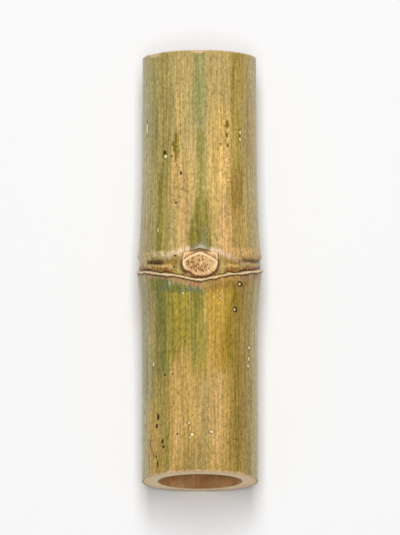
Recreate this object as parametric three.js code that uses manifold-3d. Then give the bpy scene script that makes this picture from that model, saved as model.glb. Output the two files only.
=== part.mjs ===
// Section of a thick bamboo culm with one node, lying on its side.
// Millimetres. Y runs along the culm in the direction it grew, X across it and Z up.
// The cut branch stub is on top, and the floor under the two resting spots is Z = 0.
import * as THREE from 'three';
import { mergeVertices } from 'three/addons/utils/BufferGeometryUtils.js';
import Module from 'manifold-3d';

const DEGREE = Math.PI / 180;

// Driving dimensions
const LENGTH = 300;
const BASE_RADIUS = 40.5;
const TOP_RADIUS = 39.9;
const BASE_LUMEN_RADIUS = 29.2;
const TOP_LUMEN_RADIUS = 29.6;

// Both ends are sawn a little askew, and the saw cut's lean fades out along the culm
const BASE_SAW_SKEW = 0.6 * DEGREE;
const TOP_SAW_SKEW = 2.0 * DEGREE;
const SAW_SKEW_REACH = 45;
const BASE_STRETCH = 0.98;

// The wall that closes both hollows off at the node
const SEPTUM_FROM = -0.5;
const SEPTUM_TO = 6.5;
const SEPTUM_DISH = 14;

// Swelling at the node, as radii above the plain culm on the branch side
const SWELL_BELOW = 3.2;
const SWELL_BELOW_REACH = 19;
const SWELL_ABOVE = 1.2;
const SWELL_ABOVE_REACH = 38;
const RIDGE_HEIGHT = 2.0;
const RIDGE_REACH = 8;
const INTRANODE_HEIGHT = 2.05;
const GROOVE_DEPTH = 0.3;
const BACK_SWELL_LOSS = 0.4;

// The lip that the sheath left, dipping under the branch
const LIP_BACK_Y = 2.5;
const LIP_DIP = 13.8;
const LIP_POINT = 4.6;
const LIP_POINT_ANGLE = 0.245;
const LIP_HEIGHT = 1.25;
const LIP_WAVE = 0.35;

// The ridge above the branch
const RIDGE_BACK_Y = 12;
const RIDGE_DIP = 8.5;

// The shallow channel that runs up from the bud
const CHANNEL_DEPTH = 1.1;
const CHANNEL_HALF_WIDTH = 7;
const CHANNEL_OFFSET = 0.8;
const CHANNEL_FADE = 70;

// The cut branch stub and the shoulders beside it, as heights above the culm's axis
const STUB_LEFT = -11.5;
const STUB_RIGHT = 12.5;
const STUB_SIDE_Y = -3;
const STUB_TOP_X = 0.7;
const STUB_TOP_Y = 3.8;
const STUB_BOTTOM_Y = -13.1;
const STUB_BULGE_X = 6;
const STUB_BULGE_Y = -9;
const STUB_HEIGHT = 44.8;
const STUB_CROWN_RADIUS = 100;
const SHOULDER_RADIUS = 43.9;
const SHOULDER_SPREAD = 1.4;
const SHOULDER_RISE = 4.6;
const SHOULDER_FOOT_Y = -4.2;
const ROOT_HEIGHT = 38;
const ROOT_FLARE = 1.12;

// How it lies: both ends come down to a flat worn spot, and the node just clears the floor
const END_FLAT_DEPTH = 0.5;
const NODE_CLEARANCE = 0.35;
const BEND_SOFTNESS = 15;

const HALF = LENGTH / 2;
const SWELL_AT_LIP = SWELL_BELOW + LIP_HEIGHT;
const NODE_AXIS_HEIGHT = BASE_RADIUS + SWELL_AT_LIP * (1 - BACK_SWELL_LOSS) + NODE_CLEARANCE;
const BASE_DROP = NODE_AXIS_HEIGHT - (BASE_RADIUS - END_FLAT_DEPTH);
const TOP_DROP = NODE_AXIS_HEIGHT - (TOP_RADIUS - END_FLAT_DEPTH);

// Places of the rings of the surface: along the plain culm, below the lip and above the ridge
const LOWER_CULM_RINGS = [-HALF, -128, -105, -85, -68];
const BELOW_LIP_RINGS = [42, 33, 25, 18, 12, 7, 3];
const INTRANODE_SHARES = [0.16, 0.32, 0.48, 0.58, 0.66, 0.74, 0.84, 0.93];
const ABOVE_RIDGE_RINGS = [0, 1.5, 4, 7.5, 12, 18, 26, 36, 48];
const UPPER_CULM_RINGS = [72, 92, 112, 131, HALF];

// Section of the lip: places above its line, and heights as shares of its full height
const LIP_SECTION = [[-1.1, 0], [-0.6, 0.72], [-0.1, 1], [0.4, 0.88], [0.9, -0.95]];

// Rings of a hollow: angles round the dish at the septum, and shares of the straight wall
const DISH_ANGLES = [20, 40, 62, 90];
const DISH_SQUARENESS = 0.6;
const LUMEN_WALL_SHARES = [0.2, 0.45, 0.72, 1];

const wasm = await Module();
wasm.setup();

const gauss = (value, width) => Math.exp(-((value / width) ** 2));
const facing = (phi) => (1 + Math.cos(phi)) / 2;
const smooth = THREE.MathUtils.smoothstep;

// Height of the culm's axis above the floor: a soft bend at the node
function axisHeight(y) {
  const bend = (distance) => Math.hypot(distance, BEND_SOFTNESS) - BEND_SOFTNESS;
  const drop = y < 0 ? BASE_DROP : TOP_DROP;
  return NODE_AXIS_HEIGHT - drop * bend(y) / bend(HALF);
}

// phi is the angle round the culm from the crest towards +X
function lipLine(phi) {
  const wave = LIP_WAVE * Math.sin(5 * phi + 0.6) + LIP_WAVE / 2 * Math.sin(13 * phi + 2);
  const dip = LIP_DIP * facing(phi) ** 1.4 + LIP_POINT * gauss(phi, LIP_POINT_ANGLE);
  return LIP_BACK_Y - dip + wave;
}

function ridgeLine(phi) {
  return RIDGE_BACK_Y - RIDGE_DIP * facing(phi);
}

// The node swells less underneath, away from the branch
function swellShare(phi) {
  return 1 - BACK_SWELL_LOSS * (1 - facing(phi)) ** 4;
}

function plainRadius(y) {
  return THREE.MathUtils.lerp(BASE_RADIUS, TOP_RADIUS, smooth(y, 20, HALF));
}

function channel(phi, y, ridge) {
  const across = BASE_RADIUS * phi - CHANNEL_OFFSET;
  const along = smooth(y, ridge - 2, ridge + 6) * Math.exp(-Math.max(y - ridge, 0) / CHANNEL_FADE);
  return CHANNEL_DEPTH * Math.exp(-((across / CHANNEL_HALF_WIDTH) ** 4)) * along;
}

function outerRadius(phi, y) {
  const lip = lipLine(phi);
  const ridge = ridgeLine(phi);
  let swell;
  if (y <= lip) {
    swell = SWELL_BELOW * Math.exp(-(((lip - y) / SWELL_BELOW_REACH) ** 1.35));
  } else if (y >= ridge) {
    const above = y - ridge;
    swell = SWELL_ABOVE * gauss(above, SWELL_ABOVE_REACH) + RIDGE_HEIGHT * Math.exp(-above / RIDGE_REACH);
  } else {
    const share = (y - lip) / (ridge - lip);
    const rise = (SWELL_ABOVE + RIDGE_HEIGHT - INTRANODE_HEIGHT) * smooth(share, 0.74, 1);
    swell = INTRANODE_HEIGHT + rise - GROOVE_DEPTH * gauss(share - 0.66, 0.12);
  }
  return plainRadius(y) + swell * swellShare(phi) - channel(phi, y, ridge);
}

// Both sawn ends lean back at the top
function sawnShift(s, rise) {
  const reach = smooth(Math.abs(s), HALF - SAW_SKEW_REACH, HALF);
  const baseShift = rise * Math.tan(BASE_SAW_SKEW) - BASE_STRETCH;
  return reach * (s < 0 ? baseShift : -rise * Math.tan(TOP_SAW_SKEW));
}

function place(phi, s, radius) {
  const rise = radius * Math.cos(phi);
  const y = s + sawnShift(s, rise);
  return [radius * Math.sin(phi), y, axisHeight(y) + rise];
}

// Angles of the points round a ring, from the back to the back: fine on the branch side only
function ringAngles(frontStep, frontReach, backStep) {
  const frontCount = Math.round(2 * frontReach / frontStep);
  const backCount = Math.round((180 - frontReach) / backStep);
  const stretch = (from, to, count) => Array.from({ length: count }, (_, i) => from + i * (to - from) / count);
  const angles = [
    ...stretch(-180, -frontReach, backCount),
    ...stretch(-frontReach, frontReach, frontCount),
    ...stretch(frontReach, 180, backCount),
  ];
  return angles.map((angle) => angle * DEGREE);
}

const NODE_ANGLES = ringAngles(3, 36, 5);
const BODY_ANGLES = ringAngles(3, 12, 7);
const LUMEN_ANGLES = ringAngles(9, 90, 9);

// A ring is a list of angles with the point at each of them
function ring(angles, pointAt) {
  return { angles, points: angles.map(pointAt) };
}

function bodyRing(s) {
  return ring(BODY_ANGLES, (phi) => place(phi, s, outerRadius(phi, s)));
}

function belowLipRing(depth) {
  return ring(NODE_ANGLES, (phi) => {
    const y = lipLine(phi) - depth;
    return place(phi, y, outerRadius(phi, y));
  });
}

function lipRing(offset, height) {
  return ring(NODE_ANGLES, (phi) => {
    const y = lipLine(phi) + offset;
    const lowerSide = plainRadius(y) + SWELL_BELOW * swellShare(phi);
    return place(phi, y, lowerSide + height * LIP_HEIGHT * swellShare(phi));
  });
}

function intranodeRing(share) {
  return ring(NODE_ANGLES, (phi) => {
    const y = THREE.MathUtils.lerp(lipLine(phi), ridgeLine(phi), share);
    return place(phi, y, outerRadius(phi, y));
  });
}

function aboveRidgeRing(height) {
  return ring(NODE_ANGLES, (phi) => {
    const y = ridgeLine(phi) + height;
    return place(phi, y, outerRadius(phi, y));
  });
}

function outerRings() {
  return [
    ...LOWER_CULM_RINGS.map(bodyRing),
    ...BELOW_LIP_RINGS.map(belowLipRing),
    ...LIP_SECTION.map(([offset, height]) => lipRing(offset, height)),
    ...INTRANODE_SHARES.map(intranodeRing),
    ...ABOVE_RIDGE_RINGS.map(aboveRidgeRing),
    ...UPPER_CULM_RINGS.map(bodyRing),
  ];
}

// A hollow from its dished end at the septum to its mouth at the saw cut
function lumenRings(radius, septumY, mouthY) {
  const away = Math.sign(mouthY);
  const dishEnd = septumY + away * SEPTUM_DISH;
  const dish = DISH_ANGLES.map((angle) => {
    const turn = angle * DEGREE;
    const y = septumY + away * SEPTUM_DISH * (1 - Math.cos(turn));
    return ring(LUMEN_ANGLES, (phi) => place(phi, y, radius * Math.sin(turn) ** DISH_SQUARENESS));
  });
  const wall = LUMEN_WALL_SHARES.map((share) => {
    const y = THREE.MathUtils.lerp(dishEnd, mouthY, share);
    return ring(LUMEN_ANGLES, (phi) => place(phi, y, radius));
  });
  return [...dish, ...wall];
}

// Closes a chain of rings into one surface, from the point first to the point last
function skinOver(first, rings, last) {
  const vertices = [];
  const faces = [];
  const starts = [];
  const addPoint = (point) => vertices.push(...point);
  addPoint(first);
  for (const { points } of rings) {
    starts.push(vertices.length / 3);
    points.forEach(addPoint);
  }
  addPoint(last);
  const firstIndex = 0;
  const lastIndex = vertices.length / 3 - 1;
  const fan = (start, count, apex, closing) => {
    for (let i = 0; i < count; i += 1) {
      const next = (i + 1) % count;
      faces.push(...(closing ? [apex, start + i, start + next] : [apex, start + next, start + i]));
    }
  };
  const zip = (a, b) => {
    const [anglesA, anglesB] = [rings[a].angles, rings[b].angles];
    const turnA = (i) => anglesA[i % anglesA.length] + (i < anglesA.length ? 0 : 2 * Math.PI);
    const turnB = (j) => anglesB[j % anglesB.length] + (j < anglesB.length ? 0 : 2 * Math.PI);
    let i = 0;
    let j = 0;
    while (i < anglesA.length || j < anglesB.length) {
      const atA = starts[a] + i % anglesA.length;
      const atB = starts[b] + j % anglesB.length;
      const middleA = turnA(i) + turnA(i + 1);
      const middleB = turnB(j) + turnB(j + 1);
      if (j >= anglesB.length || (i < anglesA.length && middleA <= middleB)) {
        faces.push(atA, starts[a] + (i + 1) % anglesA.length, atB);
        i += 1;
      } else {
        faces.push(atA, starts[b] + (j + 1) % anglesB.length, atB);
        j += 1;
      }
    }
  };
  fan(starts[0], rings[0].angles.length, firstIndex, false);
  for (let k = 0; k + 1 < rings.length; k += 1) {
    zip(k, k + 1);
  }
  fan(starts.at(-1), rings.at(-1).angles.length, lastIndex, true);
  const geometry = new THREE.BufferGeometry();
  geometry.setAttribute('position', new THREE.Float32BufferAttribute(vertices, 3));
  geometry.setIndex(faces);
  return geometry;
}

function solidOf(geometry) {
  geometry.deleteAttribute('normal');
  geometry.deleteAttribute('uv');
  const merged = mergeVertices(geometry, 1e-4);
  return new wasm.Manifold(new wasm.Mesh({
    numProp: 3,
    vertProperties: new Float32Array(merged.attributes.position.array),
    triVerts: new Uint32Array(merged.index.array),
  }));
}

function geometryOf(solid) {
  const mesh = solid.getMesh();
  const geometry = new THREE.BufferGeometry();
  geometry.setAttribute('position', new THREE.BufferAttribute(mesh.vertProperties, 3));
  geometry.setIndex(new THREE.BufferAttribute(mesh.triVerts, 1));
  geometry.computeVertexNormals();
  return geometry;
}

function grownCulm() {
  const rings = [
    ...lumenRings(BASE_LUMEN_RADIUS, SEPTUM_FROM, -HALF),
    ...outerRings(),
    ...lumenRings(TOP_LUMEN_RADIUS, SEPTUM_TO, HALF).reverse(),
  ];
  const lowerCentre = [0, SEPTUM_FROM, axisHeight(SEPTUM_FROM)];
  const upperCentre = [0, SEPTUM_TO, axisHeight(SEPTUM_TO)];
  return solidOf(skinOver(lowerCentre, rings, upperCentre));
}

// A block of the given outline that flares into the culm below it, crowned across the culm
function stump(outline, height, crownRadius) {
  const corners = outline.getPoints(9).slice(0, -1);
  const angles = corners.map((_, i) => i * 2 * Math.PI / corners.length);
  const centreY = corners.reduce((sum, corner) => sum + corner.y, 0) / corners.length;
  const crown = (x) => height - (crownRadius - Math.sqrt(crownRadius ** 2 - x ** 2));
  const level = (grow, riseAt) => {
    const points = corners.map((corner) => [
      corner.x * grow,
      centreY + (corner.y - centreY) * grow,
      NODE_AXIS_HEIGHT + riseAt(corner.x * grow),
    ]);
    return { angles, points };
  };
  const rings = [level(ROOT_FLARE, () => ROOT_HEIGHT), level(1, crown), level(0.5, crown)];
  const under = [0, centreY, NODE_AXIS_HEIGHT + ROOT_HEIGHT];
  const over = [0, centreY, NODE_AXIS_HEIGHT + height];
  return solidOf(skinOver(under, rings, over));
}

// Two straight upper edges to a blunt tip, and a rounded lower edge
function stubOutline() {
  const outline = new THREE.Shape();
  outline.moveTo(STUB_LEFT, STUB_SIDE_Y);
  outline.bezierCurveTo(STUB_LEFT, STUB_BULGE_Y, -STUB_BULGE_X, STUB_BOTTOM_Y, 0, STUB_BOTTOM_Y);
  outline.bezierCurveTo(STUB_BULGE_X, STUB_BOTTOM_Y, STUB_RIGHT, STUB_BULGE_Y, STUB_RIGHT, STUB_SIDE_Y);
  outline.lineTo(STUB_TOP_X, STUB_TOP_Y);
  outline.lineTo(STUB_LEFT, STUB_SIDE_Y);
  return outline;
}

function shoulderOutline() {
  const outline = new THREE.Shape();
  const left = STUB_LEFT - SHOULDER_SPREAD;
  const right = STUB_RIGHT + SHOULDER_SPREAD;
  outline.moveTo(left, SHOULDER_FOOT_Y);
  outline.lineTo(right, SHOULDER_FOOT_Y);
  outline.lineTo(right, STUB_SIDE_Y + SHOULDER_RISE);
  outline.quadraticCurveTo(right * 0.7, STUB_TOP_Y, STUB_TOP_X, STUB_TOP_Y + 1);
  outline.quadraticCurveTo(left * 0.7, STUB_TOP_Y, left, STUB_SIDE_Y + SHOULDER_RISE);
  outline.lineTo(left, SHOULDER_FOOT_Y);
  return outline;
}

// A dent centred on the surface, with its half sizes across, along and into the wall
function dent(phi, s, halfSizes) {
  const geometry = new THREE.SphereGeometry(1, 10, 6);
  geometry.scale(...halfSizes);
  geometry.rotateY(phi);
  geometry.translate(...place(phi, s, outerRadius(phi, s)));
  return solidOf(geometry);
}

function wornPlaces() {
  const rimChips = [
    [-1, HALF, [5.2, 2.6, 1.5]],
    [-52, HALF, [6.5, 2.8, 1.6]],
    [118, HALF, [5.0, 2.2, 1.4]],
    [42, -HALF, [2.6, 2.0, 1.6]],
    [-30, -HALF, [4.2, 1.8, 1.2]],
    [-128, -HALF, [5.5, 2.4, 1.5]],
  ];
  const pits = [
    [41, -17, [1.9, 1.7, 0.9]],
    [36.7, -35, [1.6, 1.6, 0.8]],
    [-37, 82, [1.5, 1.9, 0.7]],
  ];
  return [...rimChips, ...pits].map(([angle, s, halfSizes]) => dent(angle * DEGREE, s, halfSizes));
}

function belowFloor() {
  const depth = 20;
  const geometry = new THREE.BoxGeometry(4 * BASE_RADIUS, 2 * LENGTH, depth);
  geometry.translate(0, 0, -depth / 2);
  return solidOf(geometry);
}

function culmGeometry() {
  let culm = grownCulm();
  culm = culm.add(stump(shoulderOutline(), SHOULDER_RADIUS, SHOULDER_RADIUS));
  culm = culm.add(stump(stubOutline(), STUB_HEIGHT, STUB_CROWN_RADIUS));
  for (const place of wornPlaces()) {
    culm = culm.subtract(place);
  }
  culm = culm.subtract(belowFloor());
  return geometryOf(culm);
}

const bamboo = new THREE.MeshStandardMaterial({ color: 0xb59a5c, roughness: 0.45, metalness: 0 });
const culm = new THREE.Mesh(culmGeometry(), bamboo);
culm.name = 'culm';

const section = new THREE.Group();
section.add(culm);

export default section;
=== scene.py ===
# Section of a thick bamboo culm: fine surface, finish, floor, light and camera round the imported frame.
import math

import bpy
import numpy as np
from mathutils import Matrix, Vector


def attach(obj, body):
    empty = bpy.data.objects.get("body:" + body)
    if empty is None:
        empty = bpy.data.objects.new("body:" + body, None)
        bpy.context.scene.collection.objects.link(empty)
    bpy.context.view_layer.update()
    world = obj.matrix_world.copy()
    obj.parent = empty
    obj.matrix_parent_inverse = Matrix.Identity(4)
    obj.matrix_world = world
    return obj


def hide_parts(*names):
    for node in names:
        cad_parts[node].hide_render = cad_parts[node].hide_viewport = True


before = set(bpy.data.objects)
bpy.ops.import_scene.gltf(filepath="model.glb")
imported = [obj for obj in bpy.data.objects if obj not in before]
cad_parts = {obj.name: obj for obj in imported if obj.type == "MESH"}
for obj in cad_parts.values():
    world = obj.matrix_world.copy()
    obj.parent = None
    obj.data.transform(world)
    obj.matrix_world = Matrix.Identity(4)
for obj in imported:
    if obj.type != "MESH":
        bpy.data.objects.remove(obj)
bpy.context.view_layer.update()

# Lengths of the culm in millimetres, as in its solid. Y runs along it, and the branch stub is on top.
MM = 0.001
HALF = 150.0
BASE_RADIUS = 40.5
TOP_RADIUS = 39.9
LUMEN_RADIUS = {-1: 29.2, 1: 29.6}
SEPTUM_Y = {-1: -0.5, 1: 6.5}
SEPTUM_DISH = 14.0
BASE_SAW_SKEW = math.radians(0.6)
TOP_SAW_SKEW = math.radians(2.0)
SAW_SKEW_REACH = 45.0
BASE_STRETCH = 0.98

SWELL_BELOW = 3.2
SWELL_BELOW_REACH = 19.0
SWELL_ABOVE = 1.2
SWELL_ABOVE_REACH = 38.0
RIDGE_HEIGHT = 2.0
RIDGE_REACH = 8.0
INTRANODE_HEIGHT = 2.05
GROOVE_DEPTH = 0.3
BACK_SWELL_LOSS = 0.4

LIP_BACK_Y = 2.5
LIP_DIP = 13.8
LIP_POINT = 4.6
LIP_POINT_ANGLE = 0.245
LIP_HEIGHT = 1.25
LIP_WAVE = 0.35
LIP_REACH = 2.2
RIDGE_BACK_Y = 12.0
RIDGE_DIP = 8.5
# The fine lip hangs a little lower than the solid's, with a softer point and a dent right of it
LIP_SAG = 1.5
LIP_POINT_LOSS = 0.6
LIP_SKEW = 0.4
LIP_SIDE_RAISE = 0.6
LIP_DENT = 1.1
LIP_DENT_ANGLE = 0.33

CHANNEL_DEPTH = 1.1
CHANNEL_HALF_WIDTH = 7.0
CHANNEL_OFFSET = 0.8
CHANNEL_FADE = 70.0

# The fine outline of the cut branch is about a millimetre wider than the solid's
STUB_LEFT = -12.6
STUB_RIGHT = 13.1
STUB_HEIGHT = 44.8
STUB_CROWN_RADIUS = 100.0
SHOULDER_RADIUS = 43.9
SHOULDER_SPREAD = 0.8
# Places round the cut branch, measured from its own middle, which lies a little nearer the base
SCAR_SHIFT = 0.6
SCAR_PEAK = (0.7, 4.0)
SCAR_CORNER_Y = -2.3
SCAR_SIDE_Y = -3.6
SCAR_BOTTOM_Y = -12.8
ARCH_TOP = 6.0
ARCH_FALL = 3.1
BUD_TOP = 7.4
BUD_FALL = 2.0
BUD_HALF_WIDTH = 7.2
BUD_MIDDLE = 0.5
BUD_SCALE_HEIGHT = 0.4
GROOVE_CUT = 0.5
SAW_MARK = 0.07
# The scar lies within this turn from the top. Further round, its distances count as far
SCAR_TURN = 0.6
SCAR_TURN_LIMIT = 0.8
FAR = 9.0

END_FLAT_DEPTH = 0.5
NODE_CLEARANCE = 0.35
BEND_SOFTNESS = 15.0
NODE_AXIS_HEIGHT = BASE_RADIUS + (SWELL_BELOW + LIP_HEIGHT) * (1 - BACK_SWELL_LOSS) + NODE_CLEARANCE
BASE_DROP = NODE_AXIS_HEIGHT - (BASE_RADIUS - END_FLAT_DEPTH)
TOP_DROP = NODE_AXIS_HEIGHT - (TOP_RADIUS - END_FLAT_DEPTH)

# Chips broken from the rims: angle in degrees, end, half width, length along, depth
CHIPS = (
    (-1, 1, 5.2, 2.6, 1.5),
    (-52, 1, 6.5, 2.8, 1.6),
    (118, 1, 5.0, 2.2, 1.4),
    (42, -1, 2.6, 2.0, 1.6),
    (-30, -1, 4.2, 1.8, 1.2),
    (-128, -1, 5.5, 2.4, 1.5),
)
# Pits with a raised rim: angle in degrees, place along, radius, depth
PITS = (
    (41, -17, 2.0, 0.9),
    (36.7, -35, 1.9, 0.8),
    (-37, 82, 1.6, 0.7),
)


def smooth(value, low, high):
    """0 below low, 1 above high, and an eased step between them."""
    share = np.clip((value - low) / (high - low), 0, 1)
    return share * share * (3 - 2 * share)


def gauss(value, width):
    return np.exp(-((value / width) ** 2))


def facing(phi):
    return (1 + np.cos(phi)) / 2


def wander(phi, seed, slowest, fastest, count=9):
    """An uneven ripple round the culm, about -1 to 1, that closes on itself."""
    draw = np.random.default_rng(seed)
    waves = draw.integers(slowest, fastest + 1, count)
    phases = draw.uniform(0, 2 * math.pi, count)
    return sum(np.sin(w * phi + p) for w, p in zip(waves, phases)) / math.sqrt(2 * count)


def mottle(phi, y, seed, around, along, count=16):
    """An uneven field over the skin, about -1 to 1, with patches of that size in millimetres."""
    draw = np.random.default_rng(seed)
    most = max(2, round(2 * math.pi * BASE_RADIUS / around))
    waves = draw.integers(-most, most + 1, count)
    rates = draw.uniform(-1, 1, count) * 2 * math.pi / along
    phases = draw.uniform(0, 2 * math.pi, count)
    total = sum(np.sin(w * phi + k * y + p) for w, k, p in zip(waves, rates, phases))
    return total / math.sqrt(2 * count)


def axis_height(y):
    """Height of the culm's axis above the floor: a soft bend at the node."""
    def bend(distance):
        return np.hypot(distance, BEND_SOFTNESS) - BEND_SOFTNESS
    drop = np.where(y < 0, BASE_DROP, TOP_DROP)
    return NODE_AXIS_HEIGHT - drop * bend(y) / bend(HALF)


def lip_line(phi):
    wave = LIP_WAVE * np.sin(5 * phi + 0.6) + LIP_WAVE / 2 * np.sin(13 * phi + 2)
    dip = (LIP_DIP + LIP_SAG) * facing(phi) ** 1.4
    point = (LIP_POINT - LIP_POINT_LOSS) * gauss(phi, LIP_POINT_ANGLE)
    torn = 0.16 * wander(phi, 3, 30, 90) + 0.08 * wander(phi, 4, 90, 200)
    sides = LIP_SIDE_RAISE * smooth(np.abs(phi), 0.5, 0.9) + LIP_SKEW * np.sin(phi)
    dent = LIP_DENT * gauss(phi - LIP_DENT_ANGLE, 0.13)
    return LIP_BACK_Y - dip - point - dent + sides + wave + torn


def ridge_line(phi):
    return RIDGE_BACK_Y - RIDGE_DIP * facing(phi)


def swell_share(phi):
    return 1 - BACK_SWELL_LOSS * (1 - facing(phi)) ** 4


def plain_radius(phi, y):
    even = BASE_RADIUS + (TOP_RADIUS - BASE_RADIUS) * smooth(y, 20, HALF)
    fibres = 0.05 * wander(phi, 11, 12, 40) + 0.035 * wander(phi, 12, 40, 110, 14)
    return even + fibres * np.clip(np.abs(y) / 12 - 0.6, 0, 1)


def channel(phi, y, ridge):
    """Depth of the shallow channel that the branch bud left above the node."""
    across = BASE_RADIUS * phi - CHANNEL_OFFSET
    along = smooth(y, ridge - 2, ridge + 6) * np.exp(-np.maximum(y - ridge, 0) / CHANNEL_FADE)
    return CHANNEL_DEPTH * np.exp(-((across / CHANNEL_HALF_WIDTH) ** 4)) * along


def lip_height(t):
    """Height of the thin lip over the plain culm, t above the lip's own line."""
    steps = (-2.2, -1.5, -1.1, -0.8, -0.4, 0.0, 0.35, 0.6, 0.9, 1.3, 2.2)
    heights = (3.2, 3.0, 3.1, 3.7, 4.15, 4.28, 4.1, 3.2, 1.9, 1.65, 2.05)
    return np.interp(t, steps, heights)


def chip_depth(phi, s):
    """How deep the chips of the rims go at each place."""
    depth = np.zeros(len(phi))
    for angle, end, half_width, length, deep in CHIPS:
        turn = (phi - math.radians(angle) + math.pi) % (2 * math.pi) - math.pi
        inside = 1 - (turn * BASE_RADIUS / half_width) ** 2 - ((s - end * HALF) / length) ** 2
        torn = 0.85 + 0.15 * np.sin(70 * phi + angle)
        depth = np.maximum(depth, deep * np.sqrt(np.clip(inside, 0, 1)) * torn)
    return depth


def pit_relief(phi, y):
    relief = np.zeros(len(phi))
    for angle, along, radius, deep in PITS:
        distance = np.hypot((phi - math.radians(angle)) * BASE_RADIUS, y - along) / radius
        relief += 0.22 * gauss(distance - 1.05, 0.3) - deep * np.sqrt(np.clip(1 - distance ** 2, 0, 1))
    return relief


def stub_distance(x, y):
    """About how far outside the outline of the cut branch a place is, negative inside it."""
    peak_x, peak_y = SCAR_PEAK
    across = np.abs(x - peak_x) / np.where(x < peak_x, peak_x - STUB_LEFT, STUB_RIGHT - peak_x)
    edge = peak_y - (peak_y - SCAR_CORNER_Y) * across ** np.where(x < peak_x, 1.45, 1.2)
    upper = 0.88 * (y - edge)
    depth = SCAR_SIDE_Y - SCAR_BOTTOM_Y
    lower = (np.hypot(across, np.minimum(y - SCAR_SIDE_Y, 0) / depth) - 1) * depth
    bite = 1.5 * gauss(np.hypot(x + 7.4, y + 10.6), 2.4)
    torn = 0.16 * np.sin(2.1 * x + 1.3) * np.sin(1.7 * y + 0.4) + 0.1 * np.sin(4.3 * x - 3.1 * y)
    return np.maximum(upper, lower) + bite + torn * (1 + 2.2 * smooth(-y, 7, 11))


def shoulder_distance(x, y):
    """About how far outside the two shoulders beside the stub a place is."""
    half_width = np.where(x < 0, SHOULDER_SPREAD - STUB_LEFT, SHOULDER_SPREAD + STUB_RIGHT)
    lean = np.where(x < 0, 0.3, 0.1) * np.clip(y + 2.6, 0, 8)
    side = np.abs(x) - half_width + lean + 0.9 * smooth(-y, 0, 4)
    arch = y - ARCH_TOP + ARCH_FALL * (np.abs(x) / half_width) ** 1.2 + 0.22 * np.sin(0.9 * x + 0.8)
    return np.maximum(np.maximum(side, arch), -4.4 - y)


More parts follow.
